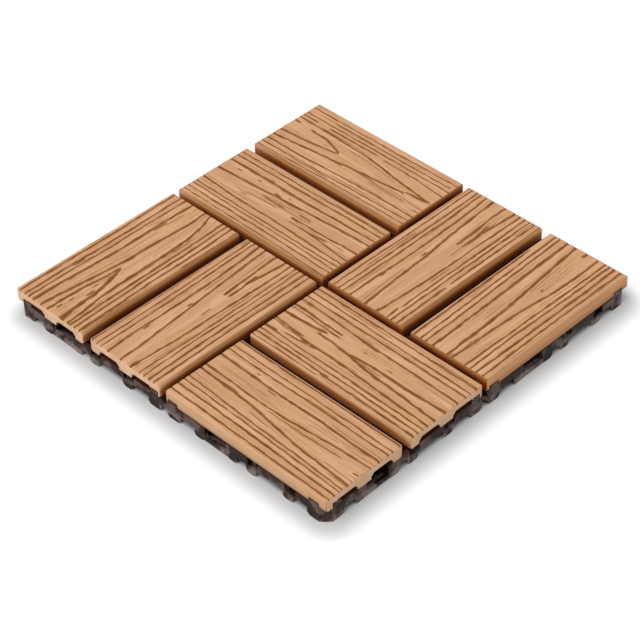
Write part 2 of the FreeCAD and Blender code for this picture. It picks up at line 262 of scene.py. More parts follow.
@dataclass(frozen=True)
class CompositeFinish:
    """Pressed wood-plastic composite: tan, with brown in the grain and smooth moulded sides.

    Each scale is in waves to a millimetre, along the slat, across it and down it.
    """

    pale: Colour = shade(216, 168, 129)
    tan: Colour = shade(201, 151, 111)
    straw: Colour = shade(205, 160, 112)
    deep: Colour = shade(165, 114, 73)
    brown: Colour = shade(140, 89, 47)
    dark: Colour = shade(109, 62, 27)
    side: Colour = shade(208, 168, 128)
    # painted shade for the sides that face +X, darker towards the bottom
    shade_side_top: Colour = shade(211, 155, 108)
    shade_side_low: Colour = shade(192, 131, 82)
    # painted shade on the lip along one long edge
    lip_shade: Colour = shade(150, 101, 54)
    under: Colour = shade(170, 126, 90)
    slow_scale: Triple = (0.018, 0.045, 1.0)
    band_scale: Triple = (0.010, 0.16, 1.0)
    strand_scale: Triple = (0.030, 1.05, 1.0)
    hair_scale: Triple = (0.11, 3.2, 1.0)
    fleck_scale: Triple = (0.42, 2.2, 1.0)
    cloud_scale: Triple = (0.05, 0.3, 1.0)
    roughness: float = 0.62
    groove_roughness: float = 0.85

    def make(self) -> Material:
        """Builds the material.

        Returns:
            The finish for the top, the sides and the underside of a slat.
        """
        material, tree = new_material("slat_composite")
        place = tree.mark("grain", "Vector")
        groove = tree.mark("groove")

        slow = tree.noise(place, self.slow_scale, 1.0)
        bands = tree.noise(place, self.band_scale)
        strands = tree.noise(place, self.strand_scale, 3.0, 0.6)
        hairs = tree.noise(place, self.hair_scale, 2.0, 0.6)
        flecks = tree.noise(place, self.fleck_scale, 2.0, 0.7)
        worn = groove * (0.66 + hairs * 0.36 + flecks * 0.36)
        ground = tree.layers(
            self.tan,
            (self.pale, bands, 0.42, 0.62, 1),
            (self.straw, slow, 0.48, 0.64, 0.6),
            (self.deep, strands, 0.53, 0.70, 0.70),
            (self.pale, strands, 0.46, 0.30, 0.40),
            (self.deep, hairs, 0.55, 0.74, 0.60),
            (self.pale, hairs, 0.42, 0.28, 0.35),
            (self.brown, flecks, 0.64, 0.80, 0.45),
            (self.brown, worn, 0.08, 0.58, 1),
            (self.dark, worn, 0.55, 1.05, 0.75),
        )

        # painted shade: the sides that face +X take a darker, warmer colour, darker still towards
        # the bottom
        shaded = tree.blend(self.shade_side_low, self.shade_side_top, tree.axis("Z", place).step(0.8, 3.6))
        depth = tree.mark("gap_depth")
        flank = tree.layers(
            self.side,
            (self.tan, tree.noise(place, self.cloud_scale, 3.0), 0.40, 0.66, 0.7),
            (shaded, tree.facing("X"), 0.3, 0.8, 1),
            (GAP_WALL_SHADE, depth, 0.0, 0.18, 1),
            (GAP_FLOOR_SHADE, depth, 0.10, 0.75, 1),
        )
        flank = tree.blend(flank, self.under, tree.mark("under_face"))
        top = tree.mark("top_face")
        # painted shade on the lip along one long edge and at the back slats' inner ends
        colour = tree.blend(tree.blend(flank, ground, top), self.lip_shade, tree.mark("lip_shade"))

        fine = hairs * 0.6 + flecks * 0.4
        rough = self.roughness + groove.step(0.1, 0.8) * (self.groove_roughness - self.roughness)
        tree.surface(tree.add("ShaderNodeBsdfPrincipled", {
            "Base Color": colour, "Roughness": rough + (hairs - 0.5) * 0.12,
            "Normal": tree.bump(fine * top, 0.35, 0.10 * MM), "Specular IOR Level": 0.20,
        }))
        return material


@dataclass(frozen=True)
class CutEndFinish:
    """The sawn end of a slat: paler and pinker, with fine saw lines and wood flour showing.

    Each scale is in waves to a metre.
    """

    pale: Colour = shade(232, 196, 164)
    flour: Colour = shade(208, 164, 128)
    # a warm tone in random clouds, and painted shade on the ends that face +X
    warm_tone_and_shade: Colour = shade(214, 166, 128)
    flour_scale: Triple = (900.0,) * 3
    saw_scale: Triple = (60.0, 60.0, 1400.0)
    cloud_scale: Triple = (80.0,) * 3
    roughness: float = 0.75

    def make(self) -> Material:
        """Builds the material.

        Returns:
            The finish for both ends of a slat.
        """
        material, tree = new_material("slat_cut_end")
        place = tree.place()
        flour = tree.noise(place, self.flour_scale, 3.0, 0.7)
        saw = tree.noise(place, self.saw_scale)
        depth = tree.mark("gap_depth")
        colour = tree.layers(
            self.pale,
            (self.flour, flour, 0.42, 0.72, 0.8),
            (self.flour, saw, 0.50, 0.80, 0.5),
            # painted shade: the ends that face +X take some of the warmer colour
            (self.warm_tone_and_shade, tree.facing("X"), 0.3, 0.8, 0.3),
            (self.warm_tone_and_shade, tree.noise(place, self.cloud_scale), 0.46, 0.62, 0.5),
            (GAP_WALL_SHADE, depth, 0.0, 0.18, 1),
            (GAP_FLOOR_SHADE, depth, 0.10, 0.75, 1),
        )
        tree.surface(tree.add("ShaderNodeBsdfPrincipled", {
            "Base Color": colour, "Roughness": self.roughness,
            "Normal": tree.bump(saw + flour, 0.3, 0.08 * MM), "Specular IOR Level": 0.25,
        }))
        return material


@dataclass(frozen=True)
class MouldedFinish:
    """Dark brown-grey polypropylene with a fine spark-eroded texture and patches of light dust.

    Painted shade makes it duller and browner inside the tile's walls and on top of them, and
    nearly black on the bevels that face the ground. Each scale is in waves to a metre.
    """

    body: Colour = shade(56, 40, 33)
    # dust in random patches, and also painted light on the lower walls that face +X
    dust_and_light: Colour = shade(132, 113, 106)
    deep: Colour = shade(24, 13, 8)
    shadow: Colour = shade(27, 15, 10)
    # painted shade inside the walls, on their tops and on the lower bevels
    inside: Colour = shade(44, 22, 13)
    ledge_shade: Colour = shade(70, 36, 20)
    bevel_shade: Colour = shade(20, 14, 12)
    texture_scale: Triple = (2600.0,) * 3
    patch_scale: Triple = (105.0,) * 3
    cloud_scale: Triple = (45.0,) * 3
    flow_scale: Triple = (30.0, 30.0, 260.0)
    roughness: float = 0.30

    def make(self) -> Material:
        """Builds the material.

        Returns:
            The finish of the base.
        """
        material, tree = new_material("base_plastic")
        place = tree.place()
        texture = tree.noise(place, self.texture_scale, 2.0, 0.6)
        patches = tree.noise(place, self.patch_scale, 2.0, 0.45)
        clouds = tree.noise(place, self.cloud_scale, 3.0)
        flow = tree.noise(place, self.flow_scale, 3.0, 0.6)

        # random patches of the dust colour, stronger low on the walls
        height = tree.axis("Z", place)
        low = height.step(8.0 * MM, 3.0 * MM)
        colour = tree.blend(self.body, self.dust_and_light, patches.step(0.46, 0.60) * (0.38 + low * 0.62))
        colour = tree.blend(colour, self.deep, patches.step(0.48, 0.38) * 0.95)
        colour = tree.blend(colour, self.deep, flow.step(0.54, 0.74) * 0.5)
        # painted shade in patches on the walls just under the slats
        under_slats = height.step(6.5 * MM, 10.0 * MM) * height.step(12.4 * MM, 12.1 * MM)
        colour = tree.blend(colour, self.shadow, under_slats * patches.step(0.62, 0.44) * 0.85)
        # painted light: the lower walls that face +X are made lighter with the dust colour
        painted_light_x = tree.facing("X").step(0.5, 0.9) * low * patches.step(0.34, 0.58)
        colour = tree.blend(colour, self.dust_and_light, painted_light_x * 0.50)

        # painted shade inside the walls, on their tops and on the bevels below, which face the
        # ground; the walls' outer faces keep the colour above
        away = tree.vector("ABSOLUTE", place)
        wall_face = (TILE_HALF - WALL_THICKNESS + 0.05) * MM
        from_middle = tree.axis("X", away).highest(tree.axis("Y", away))
        outer = from_middle.step(wall_face - 0.1 * MM, wall_face)
        on_ledge = height.step((BASE_HEIGHT - 0.3) * MM, (BASE_HEIGHT - 0.1) * MM)
        slope = tree.facing("Z")
        colour = tree.blend(self.inside, colour, outer)
        colour = tree.blend(colour, self.ledge_shade, on_ledge * slope.step(0.5, 0.9) * 0.9)
        colour = tree.blend(colour, self.bevel_shade, slope.step(-0.2, -0.6) * 0.85)

        rough = self.roughness + clouds * 0.16 + texture * 0.06
        tree.surface(tree.add("ShaderNodeBsdfPrincipled", {
            "Base Color": colour, "Roughness": rough,
            "Normal": tree.bump(texture, 0.25, 0.05 * MM), "Specular IOR Level": 0.15,
        }))
        return material


@dataclass(frozen=True)
class ZincFinish:
    """Zinc-plated steel screws with faint cloudy patches."""

    bright: Colour = shade(205, 203, 196)
    cloudy: Colour = shade(168, 164, 152)
    cloud_scale: Triple = (420.0,) * 3
    roughness: float = 0.34

    def make(self) -> Material:
        """Builds the material.

        Returns:
            The finish of the screws.
        """
        material, tree = new_material("screw_zinc")
        clouds = tree.noise(tree.place(), self.cloud_scale, 3.0, 0.6)
        colour = tree.blend(self.bright, self.cloudy, clouds.step(0.40, 0.70))
        tree.surface(tree.add("ShaderNodeBsdfPrincipled", {
            "Base Color": colour, "Metallic": 1.0, "Roughness": self.roughness + clouds * 0.2,
        }))
        return material


# Grain


@dataclass(frozen=True)
class Streak:
    """One pressed line of the grain, in millimetres on the slat's own face.

    `start` and `end` are measured along the slat from its low end, and `across` gives evenly
    spaced places from the slat's low side. A `depth` of 1 is the full depth.
    """

    start: float
    end: float
    width: float
    across: Tuple[float, ...]
    depth: float = 1.0

    def middle(self, along: Array) -> Array:
        """Where the streak runs.

        Args:
            along: Places along the slat.

        Returns:
            The distance from the slat's low side at each place.
        """
        knots = np.linspace(self.start, self.end, len(self.across))
        straight = np.interp(along, knots, self.across)
        reach = (self.end - self.start) / max(len(self.across) - 1, 1) / 4
        before = np.interp(along - reach, knots, self.across)
        after = np.interp(along + reach, knots, self.across)
        return (straight * 2 + before + after) / 4


def full(width: float, *across: float) -> Streak:
    """A streak from end to end."""
    return Streak(0, SLAT_LENGTH, width, across)


def part(start: float, end: float, width: float, *across: float, depth: float = 1.0) -> Streak:
    """A streak over part of the length."""
    return Streak(start, end, width, across, depth)


def slit(start: float, end: float, across: float) -> Streak:
    """A short fine cut."""
    return Streak(start, end, SLIT_WIDTH, (across, across))


GRAIN: Dict[str, Tuple[Streak, ...]] = {
    "slat_front_left_outer": (
        full(1.2, 3.7, 3.2, 3.9, 3.4, 3.0), full(1.2, 8.7, 8.9, 9.5, 9.6, 9.1),
        full(1.0, 13.1, 12.9, 13.9, 13.6, 13.7),
        full(1.6, 17.9, 17.9, 19.5, 20.7, 20.6, 20.3, 21.0),
        full(1.6, 25.1, 27.0, 29.2, 31.1, 33.4, 33.1, 34.2, 35.6, 34.4),
        part(0, 64, 1.6, 32.2, 32.5, 33.4, 35.6, 36.0),
        part(0, 64, 2.0, 47.2, 45.4, 44.7, 44.1, 42.0, 39.4, 36.0), part(0, 10, 2.6, 46.8, 45.6),
        full(1.7, 53.4, 51.9, 49.5, 48.6, 48.5, 48.4, 48.0, 47.2, 44.9, 39.5),
        full(1.3, 56.2, 54.6, 54.4, 53.8, 52.2), full(1.2, 60.2, 59.0, 57.9, 58.0, 56.4),
        full(1.4, 64.9, 63.9, 62.4, 62.6, 61.0), part(90, 144, 0.8, 67.0, 66.4), slit(5, 11, 35.7),
        slit(15, 21, 36.8), slit(35, 42, 37.7), slit(26, 36, 41.2), slit(41, 54, 10.8),
        slit(29, 36, 19.7), slit(105, 120, 22.6),
    ),
    "slat_front_left_inner": (
        full(0.8, 2.0, 1.8, 1.6, 1.1, 0.9), full(1.0, 7.0, 6.8, 6.3, 5.6, 4.6),
        full(1.1, 10.9, 10.9, 10.2, 9.3, 8.4), full(1.6, 18.0, 17.0, 17.2, 17.1, 16.5, 15.3, 13.1),
        full(1.5, 30.3, 29.9, 28.0, 26.7, 25.2, 23.2, 21.9, 20.2, 19.2),
        part(91, 145, 1.6, 32.9, 31.9, 31.4, 29.9, 29.9), part(92, 122, 1.5, 36.4, 36.1, 34.4),
        part(110, 145, 1.7, 36.0, 37.6, 39.3), full(1.4, 40.5, 42.0, 43.2, 43.4, 43.7, 44.5, 44.1),
        part(0, 9, 2.4, 40.6, 40.8), full(1.0, 48.7, 49.3, 49.5, 49.2, 48.7),
        full(1.0, 53.1, 52.6, 52.7, 52.8, 52.5), full(1.5, 58.2, 57.5, 57.4, 57.3, 57.1),
        full(1.3, 62.8, 62.3, 61.9, 62.3, 62.0), slit(30, 37, 18.8), slit(66, 72, 23.2),
        slit(66, 77, 36.4),
    ),
    "slat_front_right_outer": (
        full(1.3, 5.1, 4.4, 3.9, 3.4, 2.9), full(1.5, 11.6, 10.6, 9.7, 8.6, 7.6),
        full(1.0, 16.6, 15.6, 14.6, 13.3, 11.8), full(1.1, 21.0, 19.3, 17.5, 16.5, 14.5),
        full(1.6, 31.5, 30.3, 29.0, 26.0, 22.5, 21.2, 19.5), part(16, 37, 1.4, 30.5, 31.4, 31.2),
        full(1.3, 36.2, 35.6, 34.5, 35.0, 37.2, 39.0, 39.7),
        full(1.8, 49.5, 49.1, 48.3, 48.2, 48.8, 47.6, 47.8),
        full(1.2, 57.0, 56.0, 56.5, 56.2, 55.8), full(1.0, 61.5, 61.0, 61.0, 60.5, 60.0),
        full(1.5, 67.2, 67.0, 67.1), slit(46, 56, 46.0), slit(139, 144, 29.5), slit(31, 35, 52.5),
    ),
    "slat_front_right_inner": (
        part(0, 61, 1.0, 2.1, 1.9, 1.8, 1.6), part(0, 69, 1.2, 6.0, 5.9, 5.7, 5.2),
        part(60, 145, 1.3, 4.3, 4.2, 3.8, 3.4, 2.7), full(1.1, 10.0, 9.2, 8.9, 8.2, 7.3),
        full(1.1, 14.3, 13.1, 13.3, 12.5, 11.8), part(0, 12, 1.6, 14.9, 15.0),
        part(14, 43, 1.0, 17.3, 17.8, 18.2, 19.6),
        part(27, 145, 1.4, 19.9, 20.6, 20.2, 19.2, 17.9, 17.0, 16.2),
        part(0, 29, 1.3, 24.7, 23.9, 23.5, 23.2), part(0, 36, 0.9, 22.6, 22.2, 21.8, 20.9),
        part(31, 145, 1.7, 32.0, 31.8, 29.9, 27.0, 26.0, 25.3, 23.8, 22.9),
        part(62, 145, 1.8, 30.8, 32.2, 32.4, 31.8, 32.4, 33.0),
        part(0, 38, 1.8, 32.9, 33.3, 34.4, 36.0), part(0, 47, 1.0, 39.9, 39.6, 38.9, 38.1),
        part(0, 47, 1.8, 42.9, 42.4, 41.7, 41.2), part(0, 76, 1.4, 49.3, 49.2, 48.3, 46.9, 45.2),
        part(50, 145, 1.3, 47.6, 46.6, 46.0, 45.7, 44.9), full(1.2, 54.6, 54.0, 53.5, 53.2, 52.5),
        full(1.1, 59.8, 58.8, 58.0, 57.6, 57.0), full(1.3, 64.6, 64.3, 63.9, 63.6, 62.6),
        slit(67, 71, 38.8), slit(90, 96, 37.0), slit(5, 12, 50.2),
    ),
    "slat_back_right_inner": (
        full(1.1, 4.8, 4.6, 4.9, 4.6, 4.6), full(1.2, 9.8, 10.1, 10.1, 10.1, 9.3),
        full(1.2, 14.0, 14.1, 14.1, 13.8, 12.7),
        full(1.5, 20.3, 20.4, 21.1, 21.3, 20.4, 19.6, 17.9),
        full(1.6, 34.4, 32.9, 31.6, 30.8, 29.8, 27.5, 26.4, 25.2, 24.2),
        part(89, 145, 1.7, 37.1, 37.0, 36.5, 34.9, 35.6), part(90, 122, 1.5, 41.7, 41.6, 39.5),
        part(110, 145, 1.5, 41.9, 43.4, 44.7), full(1.3, 45.7, 46.9, 48.3, 48.8, 48.7, 49.3, 49.4),
        part(0, 14, 1.2, 54.6, 53.8), part(15, 145, 1.2, 54.6, 54.3, 54.7, 54.6, 53.9),
        full(1.2, 58.2, 58.2, 58.1, 58.1, 58.1), part(0, 52, 1.4, 63.2, 62.9, 62.7),
        part(54, 145, 1.3, 62.7, 62.4, 62.5, 62.3), full(0.9, 67.2, 67.4, 66.9, 67.3, 67.1),
        slit(28, 36, 22.0), slit(62, 71, 27.9), slit(0, 5, 44.3),
    ),
    "slat_back_right_outer": (
        part(0, 122, 1.4, 3.1, 2.8, 2.3, 1.6), full(1.1, 9.0, 8.5, 7.6, 6.7, 5.9),
        full(1.1, 13.4, 13.0, 11.6, 10.7, 9.5), full(1.7, 19.9, 19.2, 18.3, 17.3, 16.4),
        full(1.8, 33.2, 32.0, 32.2, 31.3, 30.1, 28.3, 26.6, 25.0, 23.6),
        full(1.4, 36.7, 37.9, 38.5, 40.3, 43.2, 44.2, 43.7),
        full(1.1, 47.9, 48.8, 49.1, 49.9, 50.2), full(1.1, 52.7, 52.2, 52.8, 53.6, 53.8),
        full(1.5, 57.9, 58.1, 58.2, 58.3, 58.1), full(1.3, 63.4, 63.1, 62.8, 62.8, 63.3),
        part(138, 145, 2.0, 33.5, 33.9), slit(0, 5, 35.0), slit(19, 22, 36.0), slit(91, 95, 36.0),
    ),
    "slat_back_left_inner": (
        full(1.0, 4.8, 4.6, 4.4, 3.8, 2.4), full(1.2, 9.2, 9.0, 9.0, 8.5, 7.6),
        full(1.0, 13.8, 13.4, 13.0, 12.7, 11.8), full(1.1, 17.3, 16.7, 16.3, 16.1, 15.8),
        full(1.5, 23.9, 22.8, 22.2, 22.1, 21.4, 20.3, 19.8),
        part(83, 145, 1.4, 29.0, 28.8, 28.5, 27.0, 25.8, 25.0),
        part(103, 121, 1.2, 29.0, 29.6, 30.1),
        part(81, 145, 1.7, 32.6, 33.3, 33.5, 33.8, 35.0, 34.9),
        full(1.8, 38.7, 39.9, 40.6, 41.6, 43.0, 44.0, 44.9, 46.0, 46.5, 47.1),
        part(53, 62, 2.4, 44.6, 43.4), full(1.5, 52.0, 52.2, 51.9, 52.7, 53.4),
        part(0, 70, 1.9, 51.9, 52.1, 51.9), full(1.4, 58.4, 58.8, 59.3, 59.7, 59.3),
        full(1.2, 63.2, 63.8, 63.4, 64.0, 63.7), slit(12, 19, 46.8), slit(33, 38, 47.6),
        slit(40, 46, 54.0), slit(34, 41, 29.3), slit(65, 69, 46.8), slit(50, 73, 36.4),
        slit(83, 97, 38.7),
    ),
    "slat_back_left_outer": (
        full(0.9, 2.8, 4.0, 5.2, 5.6, 5.6), full(1.0, 7.4, 8.3, 9.1, 9.8, 10.3),
        full(1.3, 13.1, 13.2, 15.0, 16.0, 15.7), part(0, 67, 1.8, 19.2, 20.7, 22.6, 24.3, 25.3),
        part(55, 122, 1.6, 25.0, 26.9, 28.8, 30.0, 32.2), part(120, 142, 1.8, 33.2, 34.2, 35.0),
        part(110, 126, 2.6, 35.0, 36.8, 35.4, depth=0.32),
        part(0, 55, 1.6, 26.9, 27.9, 29.2, 31.0, 33.4),
        part(18, 55, 1.8, 41.3, 40.2, 40.1, 37.0, 33.9), part(0, 8, 1.6, 42.4, 42.4),
        part(0, 143, 1.6, 47.8, 47.2, 46.7, 46.1, 45.2, 42.8, 39.7, 37.5, 35.5),
        part(0, 17, 1.2, 51.3, 51.3), part(27, 77, 1.2, 51.5, 51.3, 51.5),
        part(83, 145, 1.2, 50.3, 50.0, 48.9, 47.0), full(1.1, 55.3, 55.0, 54.9, 54.4, 54.1),
        part(27, 143, 1.0, 58.7, 58.6, 58.4, 58.3), full(1.0, 62.6, 63.0, 63.3), slit(37, 43, 34.5),
    ),
}


# What the widths above are multiplied by on some of the slats
BOLDNESS: Dict[str, float] = {
    "slat_front_left_outer": 1.16,
    "slat_front_right_outer": 0.93,
    "slat_back_right_outer": 1.06,
    "slat_back_left_inner": 0.86,
    "slat_back_left_outer": 0.90,
}


@dataclass(frozen=True)
class Wobble:
    """Smooth random numbers along a slat: how large, and how far apart their turns are."""

    size: float
    spacing: float

    def at(self, seed: int, along: Array) -> Array:
        """Draws the numbers.

        Args:
            seed: Which run of numbers.
            along: Places along the slat in millimetres.

        Returns:
            One number for each place, between -size and size.
        """
        draw = np.random.default_rng(seed)
        knots = np.arange(-self.spacing, SLAT_LENGTH + self.spacing * 2, self.spacing)
        values = draw.uniform(-1, 1, len(knots))
        cell = np.clip(((along - knots[0]) / self.spacing).astype(int), 0, len(knots) - 2)
        part_way = np.clip((along - knots[cell]) / self.spacing, 0, 1)
        ease = part_way * part_way * (3 - 2 * part_way)
        return self.size * (values[cell] * (1 - ease) + values[cell + 1] * ease)


@dataclass
class Grain:
    """The grain pressed into the top of one slat, in millimetres.

    `along` holds the place of each ring, and `across` that of each point of a ring's top, from
    the slat's low side. `boldness` and `spread` multiply the widths of the streaks. The faint
    lines between them are random. Each pair is a range, and `line_start` runs from beside the
    low end to beside the high one.
    """

    number: int
    streaks: Tuple[Streak, ...]
    along: Array
    across: Array
    width: float
    boldness: float
    spread: float = 0.82
    sway: Wobble = Wobble(0.22, 5.0)
    jitter: Wobble = Wobble(0.10, 1.7)
    deepening: Wobble = Wobble(0.20, 7.0)
    widening: Wobble = Wobble(0.30, 4.0)
    fade: float = 3.0
    fade_power: float = 0.6
    margin: float = 4.0
    line_count: int = 46
    line_length: Pair = (12.0, 60.0)
    line_half_width: Pair = (0.35, 0.75)
    line_depth: Pair = (0.20, 0.55)
    line_sway: Wobble = Wobble(0.20, 6.0)
    line_fade: float = 5.0
    line_margin: float = 1.0
    line_start: Pair = (-20.0, -10.0)

    def __post_init__(self) -> None:
        """Finds where the long streaks run, then presses all the lines."""
        longest = [streak for streak in self.streaks if streak.end - streak.start > LONG_STREAK]
        longest.sort(key=lambda streak: np.mean(streak.across))
        edge = np.full((1, len(self.along)), self.margin)
        middles = [streak.middle(self.along) for streak in longest]
        lines = np.concatenate([-edge, middles, edge + self.width])
        self.lines = np.maximum.accumulate(lines, axis=0).T
        levels = [np.mean(streak.across) for streak in longest]
        self.levels = np.array([-self.margin, *levels, self.width + self.margin])
        self.pressed = np.zeros((len(self.along), len(self.across)))
        self.press_streaks()
        self.press_fine_lines()

    def flow(self, across: Array) -> Array:
        """Places across the slat at each ring, straightened as if no streak were bent."""
        return np.array([np.interp(across, ring, self.levels) for ring in self.lines])

    def press(self, middle: Array, half: Union[Array, float], strength: Array) -> None:
        """Presses one round-bottomed line.

        Args:
            middle: Where it runs at each ring.
            half: Half its width.
            strength: Its depth at each ring.
        """
        off = (self.across - middle[:, None]) / np.reshape(half, (-1, 1))
        dent = strength[:, None] * np.clip(1 - off ** 2, 0, 1)
        self.pressed = np.maximum(self.pressed, dent)

    def press_streaks(self) -> None:
        """Presses the streaks, whose sides waver a little."""
        along = self.along
        for number, streak in enumerate(self.streaks):
            # each slat has a thousand seeds, and each of its streaks ten of them
            seed = self.number * 1000 + number * 10
            middle = streak.middle(along)
            middle = middle + self.sway.at(seed, along) + self.jitter.at(seed + 1, along)
            fade = min(self.fade, (streak.end - streak.start) / 3)
            strength = ((along >= streak.start) & (along <= streak.end)).astype(float)
            if streak.start > 0:
                strength *= np.clip((along - streak.start) / fade, 0, 1) ** self.fade_power
            if streak.end < SLAT_LENGTH - 1:
                strength *= np.clip((streak.end - along) / fade, 0, 1) ** self.fade_power
            deepening = self.deepening.at(seed + 2, along)
            strength = strength * (1 - self.deepening.size + deepening) * streak.depth
            width = streak.width * self.spread * self.boldness
            self.press(middle, width * (1 + self.widening.at(seed + 3, along)), strength)

    def press_fine_lines(self) -> None:
        """Presses faint lines between the streaks, which run as the streaks near them do."""
        along = self.along
        draw = np.random.default_rng(self.number + 40)
        for number in range(self.line_count):
            level = draw.uniform(self.line_margin, self.width - self.line_margin)
            reach = draw.uniform(*self.line_length)
            start = draw.uniform(self.line_start[0], along[-1] + self.line_start[1])
            half = draw.uniform(*self.line_half_width)
            depth = draw.uniform(*self.line_depth)
            middle = np.array([np.interp(level, self.levels, ring) for ring in self.lines])
            middle = middle + self.line_sway.at(self.number * 500 + number, along)
            taper = np.minimum(along - start, start + reach - along) / self.line_fade
            self.press(middle, half, depth * np.clip(taper, 0, 1))


# Slats


class Lie(Enum):
    """Which way a slat lies. The value is the number of the axis along it."""

    ALONG_X = 0
    ALONG_Y = 1


@dataclass
class Slat:
    """One slat, in millimetres. Its mesh is a row of rings, each a closed outline across it.

    The lip shade is painted shade on a strip along one long edge, and the gap shade is painted
    darkness down in a gap. Both are weaker at the tile's rim, where light comes in. The ends are
    rounded by `round_share` of a quarter turn, and a notch's edge slopes over twice `step`.
    """

    node: str
    number: int
    streaks: Tuple[Streak, ...]
    thickness: float = 10.0
    outer_leg: float = 8.5
    centre_leg: float = 12.0
    channel_depth: float = 4.5
    channel_chamfer: float = 2.5
    foot_chamfer: float = 1.2
    top_round: float = 1.4
    end_round: float = 1.1
    corner_round: float = 1.2
    corner_reach: float = 6.0
    round_share: float = 0.94
    swell: Wobble = Wobble(0.05, 23.0)
    swell_waves: float = 0.23
    groove_depth: float = 0.42
    notch_height: float = 4.0
    notch_depth: float = 3.6
    notch_half_width: float = 4.5
    notch_clearance: float = 1.0
    lug_from_inner_end: float = 6.5
    lug_from_outer_end: float = 10.5
    lip_width: float = 2.1
    lip_fade: float = 0.5
    lip_full: float = 0.2
    lip_least: float = 0.5
    rim_lip: float = 0.5
    end_lip: float = 0.9
    shade_below_top: float = 0.8
    end_shade_above_top: float = 0.9
    shade_reach: float = 8.0
    open_gap_shade: float = 0.5
    rim_shade: float = 0.35
    lit_reach: float = 26.0
    step: float = 0.02
    along_spacing: float = 1.0
    across_spacing: float = 0.35
    under_points: Tuple[float, ...] = (2.0, 12.0, 16.0, 20.0)
    side_rows: int = 3
    round_rows: int = 4
    round_crowding: float = 1.6
    grain_down: float = 0.4
    grain_shift: Triple = (210.0, 97.0, 0.0)

    def __post_init__(self) -> None:
        """Reads the slat's place and size from its CAD node, and places its rings."""
        self.low, self.high = (Vector(corner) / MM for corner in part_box(self.node))
        spans = self.high - self.low
        self.lie = Lie.ALONG_X if spans.x > spans.y else Lie.ALONG_Y
        axis, wide = self.lie.value, 1 - self.lie.value
        self.length = spans[axis]
        self.width = spans[wide]
        self.half = self.width / 2
        self.inner_end_is_low = abs(self.low[axis]) < abs(self.high[axis])
        self.rim_side = 1 if self.low[wide] > 0 else -1
        self.at_rim = not (self.faces_gap(wide, self.low) and self.faces_gap(wide, self.high))
        self.along = self.stations()
        from_high = self.length - self.along
        self.from_outer_end = from_high if self.inner_end_is_low else self.along

    def both_sides(self, edges: Sequence[float]) -> List[float]:
        """A place just before each edge of a step and one just after it."""
        return [edge + side for edge in edges for side in (-self.step, self.step)]

    @staticmethod
    def faces_gap(axis: int, corner: Vector) -> bool:
        """Whether the side at that corner of the slat looks into the tile, and not out of it."""
        return abs(corner[axis]) < TILE_HALF - 1

    def notch_spans(self) -> List[Pair]:
        """Finds the notches in the side at the tile's rim.

        Returns:
            Where each begins and ends along the slat.
        """
        if not self.at_rim:
            return []
        spots = [self.lug_from_inner_end, self.length - self.lug_from_outer_end]
        if not self.inner_end_is_low:
            spots = [self.length - spot for spot in spots]
        return [(spot - self.notch_half_width, spot + self.notch_half_width) for spot in spots]

    def end_notch(self) -> Pair:
        """Finds the notch in the outer end.

        Returns:
            Where it begins and ends, from the slat's middle line.
        """
        inside = self.half - self.outer_leg - self.notch_clearance
        lug = self.lug_from_outer_end if self.at_rim else self.lug_from_inner_end
        outside = self.half - lug + self.notch_half_width
        side = self.rim_side if self.at_rim else -self.rim_side
        return min(inside * side, outside * side), max(inside * side, outside * side)

    def stations(self) -> Array:
        """Places the rings.

        Returns:
            The place of each along the slat.
        """
        steps = [self.notch_depth, self.length - self.notch_depth]
        steps += [edge for span in self.notch_spans() for edge in span]
        ease = np.linspace(0, 1, self.round_rows + 1)[1:] ** self.round_crowding
        ease = ease * self.end_round
        fixed = [*self.both_sides(steps), 0.0, self.length, *ease, *(self.length - ease)]
        fixed = np.array(sorted(set(fixed)))
        plain = np.arange(self.end_round, self.length - self.end_round, self.along_spacing)
        free = [spot for spot in plain if np.min(np.abs(fixed - spot)) > self.along_spacing / 3]
        return np.array(sorted([*fixed, *free]))

    def underside(self) -> Tuple[Array, Array]:
        """Builds the outline of the underside.

        Returns:
            Places across the slat, from its middle line, and the height at each ring and place.
        """
        half = self.half
        centre = self.centre_leg / 2
        leg = half - self.outer_leg
        start, end = self.end_notch()
        steps = [centre, leg, half - self.notch_depth, abs(start), abs(end)]
        right = sorted([
            *self.under_points, centre + self.channel_chamfer, leg - self.channel_chamfer,
            *self.both_sides(steps), half - self.foot_chamfer, half,
        ])
        across = np.array([-spot for spot in reversed(right)] + right)

        out = np.abs(across)
        from_leg = np.minimum(out - centre, leg - out)
        rise = self.channel_depth - np.clip(self.channel_chamfer - from_leg, 0, None)
        section = np.where(from_leg > 0, rise, 0.0)
        section = np.maximum(section, out - (half - self.foot_chamfer))
        at_end = self.from_outer_end < self.notch_depth
        cut = np.outer(at_end, (across > start) & (across < end))
        at_side = across * self.rim_side > half - self.notch_depth
        for start, end in self.notch_spans():
            cut |= np.outer((self.along > start) & (self.along < end), at_side)
        return across, np.where(cut, np.maximum(section, self.notch_height), section)

    def rounding(self, radius: float) -> Array:
        """How far an edge that is rounded towards the two ends falls back at each ring."""
        near = np.clip(radius - np.minimum(self.along, self.length - self.along), 0, radius)
        return radius - np.sqrt(radius ** 2 - near ** 2 * self.round_share)

    def rings(self) -> Tuple[Array, Dict[str, Array], Array]:
        """Builds the points of every ring.

        Returns:
            The points in millimetres, as rings by points by (along, across, height), the marks
            that the finish reads, and straightened places across the slat.
        """
        half = self.half
        field_half = half - self.top_round
        count = int(round(field_half * 2 / self.across_spacing)) + 1
        top = np.linspace(-field_half, field_half, count)
        drop = self.rounding(self.end_round)[:, None]

